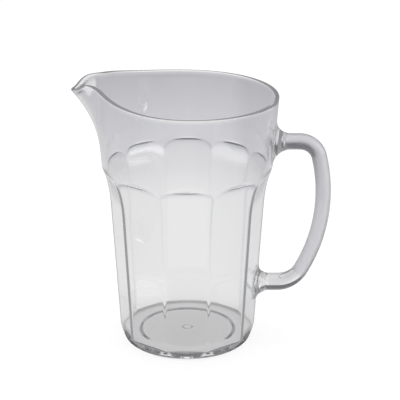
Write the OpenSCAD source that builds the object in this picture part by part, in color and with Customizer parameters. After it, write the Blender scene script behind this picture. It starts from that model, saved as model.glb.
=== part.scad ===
// Clear panelled pitcher with a pouring lip and a bonded bar handle.
// Millimetres. Z points up, the foot stands on z = 0, the handle is on +X and the lip on -X.

/* [Jug body] */
// Height of the rim at the back and sides
rim_h = 200; // [170:1:230]
// Radius of the collar's outside at the rim
rim_r = 70; // [65:0.1:75]
// Radius of the collar's outside at its shoulder
shoulder_r = 66.4; // [63.5:0.1:68]
// Height of the collar's shoulder, above the arches
shoulder_z = 149; // [146:0.5:156]
// Thickness of the wall
wall = 3; // [2:0.1:4]
// Flat panels round the body
panels = 10; // [8:1:12]
// Distance from the axis to a panel, at the foot
panel_foot_r = 50.6; // [48.5:0.1:52]
// Lean of a panel out of the vertical, in degrees
panel_draft = 3.25; // [2.5:0.05:4]

/* [Arches] */
// Height where a panel starts to curve out into its arch
cove_z = 111; // [102:0.5:118]
// Height of the arch's quarter ellipse
cove_h = 32.5; // [28:0.5:36]
// Reach of the arch's quarter ellipse
cove_out = 7.8; // [7.5:0.1:10]
// Drop of the rounded shoulder below the collar's straight line
shoulder_drop = 0.4; // [0.2:0.1:1]

/* [Foot] */
// Radius of the foot's conical heel, where its cone meets the ground plane
heel_r = 49.8; // [47:0.1:50.5]
// Growth of the heel's radius for each unit of height
heel_slope = 0.5; // [0.4:0.01:0.7]
// Rounding of the edge that the foot stands on
foot_edge_r = 1.6; // [1:0.1:2]
// Thickness of the base, from the ground plane to the floor inside
base_t = 6; // [5:0.1:9]
// Rounding between the floor and the wall inside
floor_fillet = 1.5; // [1:0.1:5]
// Radius of the recess under the base
recess_r = 37.5; // [30:0.1:40]
// Depth of the recess under the base
recess_d = 2; // [1:0.1:3]
// Radius of the round gate mark in the middle of the recess
gate_r = 4; // [2:0.1:6]
// Depth of the gate mark's ring
gate_d = 0.5; // [0.3:0.1:0.8]

/* [Pouring lip] */
// Reach of the lip's point beyond the collar
lip_out = 19.1; // [12:0.1:26]
// Rise of the lip's point above the rim
lip_tip_rise = 4.6; // [0:0.1:8]
// Height of the lip, from where it starts to swell out of the collar up to its point
lip_h = 53.6; // [40:0.1:70]
// How late the swelling comes as it rises
lip_power = 2.3; // [2:0.1:4]
// Half angle of the lip at its point's height, in degrees
lip_half_angle = 11.2; // [10:0.1:16]
// How much narrower the lip is at its foot
lip_taper_share = 0.6; // [0:0.05:0.6]
// Rise of the rim on both sides of the lip
lip_rise = 12.2; // [8:0.1:15]
// Half angle of the rim's rise, in degrees
lip_rise_angle = 47; // [40:1:60]
// Half angle of the dip at the lip's point, in degrees
lip_dip_angle = 8.5; // [6:0.1:12]

/* [Handle] */
// Drop of the handle's upper arm below the rim
arm_top_drop = 37.7; // [33:0.1:39]
// Height of the handle's lower arm
arm_low_z = 44.7; // [40:0.1:52]
// Straight length of the upper arm, from its joint to the upper bend
arm_top_len = 13; // [10:0.1:24]
// Least straight length of the lower arm, from its joint to the lower bend
arm_low_len = 7; // [6:0.1:12]
// Height of the grip's outermost point
grip_z = 118; // [112:0.5:125]
// Bend radius of the grip's long arc
grip_bend_r = 130; // [110:1:160]
// Bend radius of the upper corner
bend_top_r = 16; // [13:0.5:20]
// Bend radius of the lower corner
bend_low_r = 21; // [18:0.5:26]
// Radius of the grip bar
grip_r = 6; // [5:0.1:7.5]
// Radius of the upper arm
arm_top_r = 6.3; // [6:0.1:8]
// Radius of the lower arm
arm_low_r = 6.9; // [6:0.1:8]
// Radius of the hollow channel inside the grip
channel_r = 3.6; // [2.5:0.1:4]

/* [Handle joints] */
// Reach of the upper boss, from the collar to the upper joint's face
boss_top_out = 5.9; // [5:0.1:9]
// Reach of the lower boss, from its corner of the wall to the lower joint's face
boss_low_out = 4.2; // [4:0.1:8]
// Radius of the fillet that flares the upper arm and its boss into the collar
flare_top_r = 12; // [10:0.1:14]
// Radius of the fillet that flares the lower arm and its boss into the wall
flare_low_r = 9; // [8.5:0.1:11]
// Radius of the spigots that the handle slides on to
spigot_r = 3.9; // [3.7:0.1:4.4]
// Length of the spigots
spigot_len = 5; // [3:0.5:7]
// Gap for the bond line round and beyond each spigot
bond_gap = 0.1; // [0.05:0.05:0.3]

/* [Hidden] */
$fn = 96;

// Height over which the collar's shoulder rounds off by shoulder_drop, and the most of it that is used
shoulder_h = 9;
shoulder_stop_share = 1.6;
// Depth of the round edge along the rim
rim_edge_h = wall / 2;
// Clearance by which a cut overruns the face that it opens
overrun = 1;
// Width of the recess's leaning step, and of the gate mark's ring
recess_step = 0.7;
gate_w = 0.8;
// Depth from which a boss starts, and what is kept of it: its root down to a share of the wall, and the
// inner share of its fillet, because the wall falls away from it on both sides
boss_root = 3 * wall;
boss_root_share = 0.65;
flare_keep_share = 0.35;

// How late the rim rises towards the lip, and how sharply it dips at the lip's point
lip_rise_power = 2.1;
lip_dip_power = 3.2;
// How far the lip still swells above its point's height, and how low the heel may end
swell_stop_share = 1.25;
heel_least_share = 1.05;

// Columns of the wall's skin: for each panel, and more of them in the panels next to the lip
panel_turn = 360 / panels;
cols_per_panel = 6;
lip_turn_angle = 60;
lip_refine = 3;
// Rings along the lower bend, the grip and the upper bend, and the sides of the bar and its channel
low_steps = 8;
grip_steps = 12;
top_steps = 10;
flare_steps = 4;
bar_sides = 32;
channel_sides = 24;
// Halvings in the search for the line where an arch meets the collar
bisect_steps = 24;

// Heights of the lip's point and foot, and of the handle's upper arm
lip_tip_z = rim_h + lip_tip_rise;
lip_z = lip_tip_z - lip_h;
arm_top_z = rim_h - arm_top_drop;

// Angle from the middle of the panel at angle t, where a corner faces the handle, and from the lip
function from_panel(t) = t - (floor(t / panel_turn) + 1 / 2) * panel_turn;
function from_lip(t) = t - 180 - 360 * round((t - 180) / 360);

// A panel seen from the side, set in by d: a leaning line, then a quarter ellipse that turns out.
// Above the ellipse the panel is past the collar and cuts nothing.
function cove_u(z, d) = max((z - cove_z) / (cove_h + d), 0);
function panel_at(z, d) =
    cove_u(z, d) >= 1 ? 2 * rim_r :
    panel_foot_r + tan(panel_draft) * z - d + (cove_out + d) * (1 - sqrt(1 - pow(cove_u(z, d), 2)));

// The round collar seen from the side: a leaning line that rounds off below its shoulder
function shoulder_u(z) = min(max((shoulder_z - z) / shoulder_h, 0), shoulder_stop_share);
function collar_at(z) =
    rim_r - (rim_r - shoulder_r) * (rim_h - z) / (rim_h - shoulder_z) - shoulder_drop * pow(shoulder_u(z), 2);

// The lip: a bell in plan that swells out faster and faster as it rises
function swell_u(z) = min(max((z - lip_z) / lip_h, 0), swell_stop_share);
function swell(z) = lip_out * pow(swell_u(z), lip_power);
function swell_slope(z) = lip_power * lip_out * pow(swell_u(z), lip_power - 1) / lip_h;
function bell_half(z) = lip_half_angle * (1 - lip_taper_share * (1 - min(swell_u(z), 1)));
function bell(t, z) = exp(-pow(from_lip(t) / bell_half(z), 2));
// Growth of the lip for each unit of arc length round the axis
function bell_slope(t, z) =
    swell(z) * bell(t, z) * 2 * from_lip(t) / pow(bell_half(z), 2) * (180 / PI) / collar_at(z);

// Collar and lip together, set in by d square to the surface
function round_at(t, z, d) =
    collar_at(z) + swell(z) * bell(t, z) - d * norm([1, swell_slope(z) * bell(t, z), bell_slope(t, z)]);
// The whole wall, set in by d: the panels cut it back wherever they lie further in
function wall_at(t, z, d) = min(panel_at(z, d) / cos(from_panel(t)), round_at(t, z, d));

// The foot's cone with its rounded edge
function edge_back(z) = foot_edge_r - sqrt(max(pow(foot_edge_r, 2) - pow(max(foot_edge_r - z, 0), 2), 0));
function heel_at(z) = heel_r + heel_slope * z - edge_back(z);
function outside_at(t, z) = min(wall_at(t, z, 0), heel_at(z));
// The wall inside, which rounds into the floor
function fillet_u(z) = min((z - base_t) / floor_fillet, 1);
function inside_at(t, z) =
    wall_at(t, z, wall) - floor_fillet * (1 - sqrt(max(1 - pow(1 - fillet_u(z), 2), 0)));

// Height where the foot's cone meets the panel, and where the arch meets the collar, at angle t
function heel_top(t) =
    let (c = cos(from_panel(t)))
    max((panel_foot_r / c - heel_r) / (heel_slope - tan(panel_draft) / c), heel_least_share * foot_edge_r);
function crest(t, d, lo = cove_z, hi = cove_z + cove_h, n = bisect_steps) =
    n == 0 ? lo :
    let (mid = (lo + hi) / 2)
    panel_at(mid, d) / cos(from_panel(t)) < round_at(t, mid, d)
        ? crest(t, d, mid, hi, n - 1) : crest(t, d, lo, mid, n - 1);
// Height of the rim: it rises on both sides of the lip and dips at its point
function rim_at(t) =
    rim_h + lip_rise * exp(-pow(abs(from_lip(t)) / lip_rise_angle, lip_rise_power))
    - (rim_h + lip_rise - lip_tip_z) * exp(-pow(abs(from_lip(t)) / lip_dip_angle, lip_dip_power));

// Heights that the rows of the skin pass through, outside and inside, and the rows between them: a
// whole number is a height of the list, and the rest is the share of the way to the next one
function outside_levels(t) = [0, foot_edge_r, heel_top(t), cove_z, crest(t, 0), rim_at(t) - rim_edge_h];
function inside_levels(t) =
    [base_t, base_t + floor_fillet, cove_z, crest(t, wall), rim_at(t) - rim_edge_h];
outside_row_shares = [
    0, 0.12, 0.45, 1, 2, 3, 3.25, 3.5, 3.7, 3.85, 4, 4.12, 4.28, 4.45, 4.6, 4.74, 4.86, 4.95, 5
];
rim_angles = [30, 60, 90, 120, 150];
inside_row_shares = [4, 3.95, 3.86, 3.74, 3.6, 3.45, 3.28, 3.12, 3, 2.85, 2.65, 2.4, 2, 1, 0.5, 0.2, 0];
function level(levels, u) =
    let (i = min(floor(u), len(levels) - 2)) levels[i] + (u - i) * (levels[i + 1] - levels[i]);

// Columns of the skin, in turn from the first panel's corner
columns = [
    for (k = [0 : panels - 1])
        let (n = cols_per_panel * (abs(from_lip((k + 1 / 2) * panel_turn)) < lip_turn_angle ? lip_refine : 1))
        for (j = [0 : n - 1]) panel_turn * (k + j / n)
];

// One point of the skin
function at(t, r, z) = [r * cos(t), r * sin(t), z];
function outside_point(t, u) = let (z = level(outside_levels(t), u)) at(t, outside_at(t, z), z);
function inside_point(t, u) = let (z = level(inside_levels(t), u)) at(t, inside_at(t, z), z);
function rim_point(t, a) =
    let (z = rim_at(t) - rim_edge_h, out = outside_at(t, z), in = inside_at(t, z))
    at(t, (out + in) / 2 + (out - in) / 2 * cos(a), z + rim_edge_h * sin(a));

// Closed skin of the jug's wall and base: rows go up outside, over the rim and down inside
module jug_skin() {
    n = len(columns);
    points = concat(
        [for (u = outside_row_shares) for (t = columns) outside_point(t, u)],
        [for (a = rim_angles) for (t = columns) rim_point(t, a)],
        [for (u = inside_row_shares) for (t = columns) inside_point(t, u)]
    );
    rows = len(outside_row_shares) + len(rim_angles) + len(inside_row_shares);
    faces = concat(
        [[for (i = [0 : n - 1]) i]],
        [[for (i = [n - 1 : -1 : 0]) (rows - 1) * n + i]],
        [for (j = [0 : rows - 2]) for (i = [0 : n - 1])
            [j * n + i, (j + 1) * n + i, (j + 1) * n + (i + 1) % n]],
        [for (j = [0 : rows - 2]) for (i = [0 : n - 1])
            [j * n + i, (j + 1) * n + (i + 1) % n, j * n + (i + 1) % n]]
    );
    polyhedron(points, faces, convexity = 6);
}

// Recess under the base, which leaves the ring that the jug stands on
module base_recess() {
    translate([0, 0, -overrun])
        cylinder(h = recess_d + overrun, r1 = recess_r, r2 = recess_r - recess_step);
}

// Ring left by the mould's gate in the roof of the recess
module gate_mark() {
    translate([0, 0, recess_d - overrun])
        difference() {
            cylinder(h = gate_d + overrun, r = gate_r);
            translate([0, 0, -overrun])
                cylinder(h = gate_d + 3 * overrun, r = gate_r - gate_w);
        }
}

// Faces of the two joints, each in front of the wall that carries its boss
joint_top_x = outside_at(0, arm_top_z) + boss_top_out;
joint_low_x = outside_at(0, arm_low_z) + boss_low_out;

// Growth of an arm's radius where its fillet of radius r still has the length d to run to the straight arm
function flare(r, d) = r - sqrt(pow(r, 2) - pow(d, 2));

// Boss that flares out of the wall towards the handle, with the spigot that the handle slides on to
module boss(z, face_x, boss_out, arm_r, flare_r) {
    root_x = face_x - boss_out - boss_root;
    translate([root_x, 0, z])
        rotate([0, 90, 0]) {
            rotate_extrude()
                difference() {
                    square([arm_r + flare_keep_share * flare_r, face_x - root_x]);
                    translate([arm_r + flare_r, boss_root + flare_r]) circle(r = flare_r);
                }
            cylinder(h = face_x - root_x + spigot_len, r = spigot_r);
        }
}

// What the bosses may not fill: the inside of the wall, up to where their roots reach into it
function root_at(z) = collar_at(z) - boss_root_share * wall;
function panel_root_at(z) = panel_at(z, boss_root_share * wall) / cos(panel_turn / 2);
module collar_core() {
    translate([0, 0, arm_top_z - arm_top_r - flare_top_r])
        cylinder(
            h = 2 * (arm_top_r + flare_top_r),
            r1 = root_at(arm_top_z - arm_top_r - flare_top_r),
            r2 = root_at(arm_top_z + arm_top_r + flare_top_r)
        );
}
module panel_core() {
    translate([0, 0, arm_low_z - arm_low_r - flare_low_r])
        cylinder(
            h = 2 * (arm_low_r + flare_low_r),
            r1 = panel_root_at(arm_low_z - arm_low_r - flare_low_r),
            r2 = panel_root_at(arm_low_z + arm_low_r + flare_low_r),
            $fn = panels
        );
}

module jug_body() {
    color([0.86, 0.87, 0.9, 0.45])
        difference() {
            union() {
                jug_skin();
                difference() {
                    boss(arm_top_z, joint_top_x, boss_top_out, arm_top_r, flare_top_r);
                    collar_core();
                }
                difference() {
                    boss(arm_low_z, joint_low_x, boss_low_out, arm_low_r, flare_low_r);
                    panel_core();
                }
            }
            base_recess();
            gate_mark();
        }
}

// Middle line of the handle: the centres of its three arcs, each tangent to the next. The long arc lies
// just far enough out for the straight length of both arms.
top_c_z = arm_top_z - bend_top_r;
low_c_z = arm_low_z + bend_low_r;
top_span = sqrt(pow(grip_bend_r - bend_top_r, 2) - pow(top_c_z - grip_z, 2));
low_span = sqrt(pow(grip_bend_r - bend_low_r, 2) - pow(low_c_z - grip_z, 2));
grip_c = [max(joint_top_x + arm_top_len - top_span, joint_low_x + arm_low_len - low_span), grip_z];
top_c = [grip_c.x + top_span, top_c_z];
low_c = [grip_c.x + low_span, low_c_z];
// Angles above the horizontal where the long arc ends
top_turn = atan2(top_c.y - grip_c.y, top_c.x - grip_c.x);
low_turn = atan2(low_c.y - grip_c.y, low_c.x - grip_c.x);

// Rings of the handle from the lower joint to the upper one, each [x, z, angle of its outer side]
function on_arc(c, r, a) = [c.x + r * cos(a), c.y + r * sin(a), a];
low_rings = [for (i = [0 : low_steps]) on_arc(low_c, bend_low_r, -90 + (low_turn + 90) * i / low_steps)];
grip_rings = [
    for (i = [1 : grip_steps]) on_arc(grip_c, grip_bend_r, low_turn + (top_turn - low_turn) * i / grip_steps)
];
top_rings = [for (i = [1 : top_steps]) on_arc(top_c, bend_top_r, top_turn + (90 - top_turn) * i / top_steps)];
hollow_rings = concat([low_rings[low_steps]], grip_rings, top_rings, [[joint_top_x, arm_top_z, 90]]);

// Points of one ring of radius r
function ring(p, r, sides) = [
    for (i = [0 : sides - 1]) let (a = 360 * i / sides)
        [p[0] + r * cos(a) * cos(p[2]), r * sin(a), p[1] + r * cos(a) * sin(p[2])]
];
// Closed skin through rings of equal sides, with flat ends
module tube_skin(points, sides) {
    rows = len(points) / sides;
    polyhedron(points, concat(
        [[for (i = [0 : sides - 1]) i]],
        [[for (i = [sides - 1 : -1 : 0]) (rows - 1) * sides + i]],
        [for (j = [0 : rows - 2]) for (i = [0 : sides - 1])
            [j * sides + i, (j + 1) * sides + (i + 1) % sides, j * sides + (i + 1) % sides]],
        [for (j = [0 : rows - 2]) for (i = [0 : sides - 1])
            [j * sides + i, (j + 1) * sides + i, (j + 1) * sides + (i + 1) % sides]]
    ), convexity = 6);
}
// The bar: both arms flare towards their joints and carry on the fillets of the bosses
module handle_bar() {
    low_run = flare_low_r - boss_low_out;
    top_run = flare_top_r - boss_top_out;
    tube_skin([
        for (i = [flare_steps : -1 : 0])
            each ring(
                [joint_low_x + low_run * (1 - i / flare_steps), arm_low_z, -90],
                arm_low_r + flare(flare_low_r, low_run * i / flare_steps), bar_sides
            ),
        for (i = [0 : low_steps])
            each ring(low_rings[i], arm_low_r + (grip_r - arm_low_r) * i / low_steps, bar_sides),
        for (p = grip_rings) each ring(p, grip_r, bar_sides),
        for (i = [1 : top_steps])
            each ring(top_rings[i - 1], grip_r + (arm_top_r - grip_r) * i / top_steps, bar_sides),
        for (i = [0 : flare_steps])
            each ring(
                [joint_top_x + top_run * (1 - i / flare_steps), arm_top_z, 90],
                arm_top_r + flare(flare_top_r, top_run * i / flare_steps), bar_sides
            )
    ], bar_sides);
}
// The hollow in the grip: round at its lower end, and open at the upper joint
end_angles = [75, 50, 25];
module grip_channel() {
    tube_skin([
        for (a = end_angles)
            let (back = channel_r * sin(a) / grip_bend_r * 180 / PI)
            each ring(on_arc(grip_c, grip_bend_r, low_turn - back), channel_r * cos(a), channel_sides),
        for (p = hollow_rings) each ring(p, channel_r, channel_sides),
        each ring([joint_top_x - overrun, arm_top_z, 90], channel_r, channel_sides)
    ], channel_sides);
}
// Round socket that a spigot of the jug seats in
module socket(z, face_x) {
    translate([face_x - overrun, 0, z])
        rotate([0, 90, 0]) cylinder(h = overrun + spigot_len + bond_gap, r = spigot_r + bond_gap);
}

module handle() {
    color([0.8, 0.8, 0.84, 0.8])
        difference() {
            handle_bar();
            grip_channel();
            socket(arm_top_z, joint_top_x);
            socket(arm_low_z, joint_low_x);
        }
}

jug_body();
handle();
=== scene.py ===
import math

import bpy
import numpy as np
from bpy.props import FloatProperty, FloatVectorProperty, IntProperty, PointerProperty
from mathutils import Matrix, Vector


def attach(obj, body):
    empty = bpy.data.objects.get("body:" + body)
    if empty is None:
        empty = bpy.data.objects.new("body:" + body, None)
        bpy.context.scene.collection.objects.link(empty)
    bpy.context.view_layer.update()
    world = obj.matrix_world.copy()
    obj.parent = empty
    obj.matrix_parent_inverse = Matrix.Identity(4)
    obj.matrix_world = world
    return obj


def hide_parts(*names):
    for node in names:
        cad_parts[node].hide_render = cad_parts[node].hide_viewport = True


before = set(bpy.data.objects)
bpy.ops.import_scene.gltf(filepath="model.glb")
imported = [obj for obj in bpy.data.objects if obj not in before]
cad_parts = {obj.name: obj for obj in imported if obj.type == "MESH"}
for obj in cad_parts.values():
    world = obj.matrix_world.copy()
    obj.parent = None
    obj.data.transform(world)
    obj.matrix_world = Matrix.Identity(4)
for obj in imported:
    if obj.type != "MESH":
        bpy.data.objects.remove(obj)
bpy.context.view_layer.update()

bl_info = {
    "name": "Clear pitcher",
    "version": (1, 0, 0),
    "blender": (4, 5, 0),
    "location": "3D View > Sidebar > Pitcher",
    "description": "Smooth clear plastic wall, lip and handle of a panelled pitcher, and its photo table",
    "category": "Mesh",
}

TURN = 2 * math.pi


def length(name, text, value):
    """A length in metres that a user may change."""
    return FloatProperty(name=name, description=text, default=value, unit="LENGTH", precision=5)


def angle(name, text, degrees):
    """An angle that a user may change, kept in radians."""
    return FloatProperty(name=name, description=text, default=math.radians(degrees), subtype="ANGLE")


def number(name, text, value):
    """A plain number that a user may change."""
    return FloatProperty(name=name, description=text, default=value, precision=4)


def colour(name, text, value):
    """A colour that a user may change."""
    return FloatVectorProperty(name=name, description=text, default=value, size=3, subtype="COLOR",
                               min=0, max=4)


class WallSizes(bpy.types.PropertyGroup):
    rim_height: length("Rim height", "Height of the rim at the back and sides", 0.2)
    rim_radius: length("Rim radius", "Radius of the collar's outside at the rim", 0.07)
    shoulder_radius: length("Shoulder radius", "Radius of the collar's outside at its shoulder", 0.0664)
    shoulder_height: length("Shoulder height", "Height of the collar's shoulder", 0.149)
    shoulder_fall: length("Shoulder fall", "Height over which the shoulder rounds off", 0.009)
    shoulder_drop: length("Shoulder drop", "How far the rounded shoulder drops inward", 0.0004)
    shoulder_stop: number("Shoulder stop", "Share of the fall that is used", 1.6)
    wall: length("Wall", "Thickness of the wall", 0.003)
    panels: IntProperty(name="Panels", description="Flat panels round the body", default=10, min=3)
    panel_foot: length("Panel foot", "Distance from the axis to a panel at the foot", 0.0507)
    panel_draft: angle("Panel draft", "Lean of a panel out of the vertical", 3.25)
    cove_height: length("Arch start", "Height where a panel starts to curve out", 0.111)
    cove_rise: length("Arch rise", "Height of the arch's quarter ellipse", 0.0325)
    cove_reach: length("Arch reach", "Reach of the arch's quarter ellipse", 0.0078)
    corner_round: length("Corner round", "Size of the round between two panels", 0.0007)
    arch_round: length("Arch round", "Size of the round where an arch meets the collar", 0.0018)
    heel_round: length("Heel round", "Size of the round between a panel and the heel", 0.0006)


class FootSizes(bpy.types.PropertyGroup):
    heel_radius: length("Heel radius", "Radius of the heel's cone on the ground", 0.0498)
    heel_slope: number("Heel slope", "Growth of the heel's radius for each unit of height", 0.5)
    edge_radius: length("Edge radius", "Rounding of the edge that the foot stands on", 0.0016)
    base: length("Base", "Height of the floor inside", 0.006)
    fillet: length("Fillet", "Rounding between the floor and the wall inside", 0.0015)
    recess_radius: length("Recess radius", "Radius of the recess under the base", 0.0375)
    recess_depth: length("Recess depth", "Depth of the recess under the base", 0.002)
    recess_step: length("Recess step", "Width of the recess's leaning step", 0.0022)
    gate_radius: length("Gate radius", "Radius of the gate mark", 0.004)
    gate_depth: length("Gate depth", "Depth of the gate mark's ring", 0.0005)
    gate_width: length("Gate width", "Width of the gate mark's ring", 0.0008)


class LipSizes(bpy.types.PropertyGroup):
    reach: length("Lip reach", "Reach of the lip's point beyond the collar", 0.0191)
    tip_rise: length("Tip rise", "Rise of the lip's point above the rim", 0.0046)
    height: length("Lip height", "Height from the start of the swelling to the lip's point", 0.0536)
    swell_power: number("Swell power", "How late the swelling comes as it rises", 2.3)
    half_angle: angle("Half angle", "Half angle of the lip at its point's height", 11.2)
    taper: number("Taper", "Share by which the lip is narrower at its foot", 0.6)
    rise: length("Rise", "Rise of the rim on both sides of the lip", 0.0122)
    rise_angle: angle("Rise angle", "Half angle of the rim's rise", 47)
    rise_power: number("Rise power", "How late the rim rises towards the lip", 2.1)
    dip_angle: angle("Dip angle", "Half angle of the dip at the lip's point", 8.5)
    dip_power: number("Dip power", "How sharply the rim dips at the lip's point", 3.2)


class HandleSizes(bpy.types.PropertyGroup):
    top_drop: length("Upper arm drop", "Drop of the upper arm below the rim", 0.0377)
    low_height: length("Lower arm height", "Height of the lower arm", 0.0447)
    top_straight: length("Upper straight", "Straight length of the upper arm", 0.0131)
    grip_height: length("Grip height", "Height of the grip's outermost point", 0.118)
    grip_bend: length("Grip bend", "Bend radius of the grip's long arc", 0.13)
    top_bend: length("Upper bend", "Bend radius of the upper corner", 0.016)
    low_bend: length("Lower bend", "Bend radius of the lower corner", 0.021)
    grip_radius: length("Grip radius", "Radius of the grip bar", 0.006)
    top_radius: length("Upper arm radius", "Radius of the upper arm", 0.0063)
    low_radius: length("Lower arm radius", "Radius of the lower arm", 0.0069)
    top_reach: length("Upper boss reach", "From the collar to the upper joint", 0.0059)
    low_reach: length("Lower boss reach", "From the corner of the wall to the lower joint", 0.0042)
    top_flare: length("Upper flare", "Radius of the fillet from the upper arm into the collar", 0.012)
    low_flare: length("Lower flare", "Radius of the fillet from the lower arm into the wall", 0.009)
    low_flare_side: length("Lower side flare", "Reach of the lower boss's fillet sideways", 0.006)
    satin_angle: angle("Satin angle", "Angle below the level where the satin grip starts", 41)
    bond_groove: length("Bond groove", "Depth of the fine groove round each joint", 0.00015)
    bubble_start: angle("Bubble start", "Place of the gas bubble's nose on the lower bend", -87)
    bubble_end: angle("Bubble end", "Place of the bubble's other end on the lower bend", -32)
    bubble_offset: length("Bubble offset", "Distance of the bubble inwards from the bar's middle", 0.0029)
    bubble_radius: length("Bubble radius", "Radius of the bubble", 0.0021)


class Finishes(bpy.types.PropertyGroup):
    ior: number("Refraction", "Index of refraction of the clear plastic", 1.57)
    clear_tint: colour("Clear tint", "Tint of the clear plastic", (0.985, 0.985, 0.99))
    satin_tint: colour("Satin tint", "Tint of the satin grip", (0.9, 0.9, 0.925))
    satin_low: number("Least satin", "Least roughness of the satin grip", 0.35)
    satin_high: number("Most satin", "Greatest roughness of the satin grip", 0.45)


# The wall's formulas

STEEP = 40           # slope of a panel above its arch, where the collar takes over
CORNER_SHARE = 0.25  # share of the arch's round that is left at a panel's corners
HEEL_CLEAR = 1.05    # lowest place where the heel's cone may end, in heights of the rounded edge
HALVINGS = 30
WALL_TRIES = 12


def from_panel(s, t):
    """Angle from the middle of the panel at angle t. The handle stands on a corner between two panels,
    so it is t less half a panel, less what is left after whole turns of one panel."""
    step = TURN / s.wall.panels
    return t - (np.floor(t / step) + 0.5) * step


def smooth_min(a, b, k):
    """The lower of two values, less a parabola of height k/4 where they come closer than k."""
    h = np.maximum(k - np.abs(a - b), 0) / k
    return np.minimum(a, b) - h * h * k / 4


def panel_profile(s, z, d):
    """Panel seen from the side, set in by d: a leaning line plus a quarter ellipse that turns out."""
    w = s.wall
    u = np.clip((z - w.cove_height) / (w.cove_rise + d), 0, 1)
    line = w.panel_foot + math.tan(w.panel_draft) * z - d
    over = np.maximum(z - w.cove_height - w.cove_rise - d, 0)
    return line + (w.cove_reach + d) * (1 - np.sqrt(np.maximum(1 - u * u, 0))) + over * STEEP


def panel_radius(s, t, z, d):
    """Distance of the panels from the axis at angle t: profile over cosine, rounded at the corners."""
    a = np.abs(from_panel(s, t))
    step = TURN / s.wall.panels
    p = panel_profile(s, z, d)
    return smooth_min(p / np.cos(a), p / np.cos(step - a), s.wall.corner_round)


def collar_radius(s, z):
    """Collar seen from the side: a leaning line that rounds off below its shoulder by a parabola."""
    w = s.wall
    u = np.clip((w.shoulder_height - z) / w.shoulder_fall, 0, w.shoulder_stop)
    lean = (w.rim_radius - w.shoulder_radius) / (w.rim_height - w.shoulder_height)
    return w.rim_radius - lean * (w.rim_height - z) - w.shoulder_drop * u * u


def lip_angle(t):
    """Angle from the middle of the lip, between minus and plus half a turn."""
    return (t + TURN / 2) % TURN - TURN / 2


def lip_foot(s):
    """Height where the lip starts to swell."""
    return s.wall.rim_height + s.lip.tip_rise - s.lip.height


def round_radius(s, t, z, d):
    """Collar and lip together, set in by d square to the surface. The lip is a bell of the angle times
    a power of the height, narrower at its foot, and d is multiplied by the surface's slope."""
    lip = s.lip
    u = np.maximum((z - lip_foot(s)) / lip.height, 0)
    half = lip.half_angle * (1 - lip.taper * (1 - np.minimum(u, 1)))
    a = lip_angle(t - math.pi)
    bell = np.exp(-(a / half) ** 2)
    grow = lip.reach * bell
    swell = grow * u ** lip.swell_power
    up = lip.swell_power * u ** (lip.swell_power - 1) / lip.height * grow
    r = collar_radius(s, z)
    across = swell * 2 * a / half ** 2 / r
    return r + swell - d * np.sqrt(1 + up ** 2 + across ** 2)


def wall_radius(s, t, z, d):
    """The whole wall set in by d: the lower of the panels and the collar with its lip, rounded. The
    round is full at a panel's middle and falls as a cosine to a quarter at its corners."""
    middle = np.cos(from_panel(s, t) * s.wall.panels / 2)
    k = s.wall.arch_round * (CORNER_SHARE + (1 - CORNER_SHARE) * middle)
    return smooth_min(panel_radius(s, t, z, d), round_radius(s, t, z, d), k)


def outside_radius(s, t, z, back=0):
    """The wall's outside, cut back by the heel's cone, which lies in by back at its rounded edge."""
    f = s.foot
    return smooth_min(wall_radius(s, t, z, 0), f.heel_radius + f.heel_slope * z - back, s.wall.heel_round)


def heel_top(s, t):
    """Height where the heel's cone meets the panel, which is a crossing of two straight lines."""
    c = np.cos(from_panel(s, t))
    f = s.foot
    top = (s.wall.panel_foot / c - f.heel_radius) / (f.heel_slope - math.tan(s.wall.panel_draft) / c)
    return np.maximum(top, f.edge_radius * HEEL_CLEAR)


def crest(s, t, d):
    """Height where the arch set in by d meets the collar, found by halving its range."""
    lo = np.full_like(t, s.wall.cove_height)
    hi = lo + s.wall.cove_rise + d
    c = np.cos(from_panel(s, t))
    for _ in range(HALVINGS):
        mid = (lo + hi) / 2
        below = panel_profile(s, mid, d) / c < round_radius(s, t, mid, d)
        lo, hi = np.where(below, mid, lo), np.where(below, hi, mid)
    return lo


def rim_level(s, t):
    """Height of the rim: it rises on both sides of the lip and dips at the lip's point."""
    lip, top = s.lip, s.wall.rim_height
    a = np.abs(lip_angle(t - math.pi))
    dip = lip.rise - lip.tip_rise
    return (top + lip.rise * np.exp(-(a / lip.rise_angle) ** lip.rise_power)
            - dip * np.exp(-(a / lip.dip_angle) ** lip.dip_power))


# Meshes from grids

def skin(name, points, quads, tris, slots):
    """A mesh object from arrays of points, quads and triangles, smooth shaded, with material slots."""
    mesh = bpy.data.meshes.new(name)
    faces = quads.tolist() + tris.tolist()
    mesh.from_pydata(points.tolist(), [], faces)
    mesh.update()
    mesh.polygons.foreach_set("use_smooth", np.ones(len(faces), bool))
    mesh.polygons.foreach_set("material_index", np.asarray(slots, np.int32))
    mesh.update()
    piece = bpy.data.objects.new(name, mesh)
    bpy.context.scene.collection.objects.link(piece)
    return piece


def between(a, b, n, ends=(True, True)):
    """Rows from a to b in n equal steps, with or without its two ends."""
    u = np.linspace(0, 1, n + 1)[0 if ends[0] else 1: n + 1 if ends[1] else n]
    return [a + (b - a) * x for x in u]


GATE_SOFT = 0.00012     # half width of the gate ring's edges
GATE_MARGIN = 0.001     # from the gate ring to the next row
STEP_SOFT = 0.0003      # rounding of the recess's step
HEEL_BAND = 0.0016      # rows stand close together this far from the heel's top
HEEL_SHARE = 0.85       # or over this share of the heel's height, where that is less
CREST_BAND = 0.006      # and this far from the arches' tops
WINDOW_MARGIN = 0.0012  # least room between a boss and the edge of its window
LIP_NEAR = 1.6          # panels from the lip's middle that get the denser columns
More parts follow.
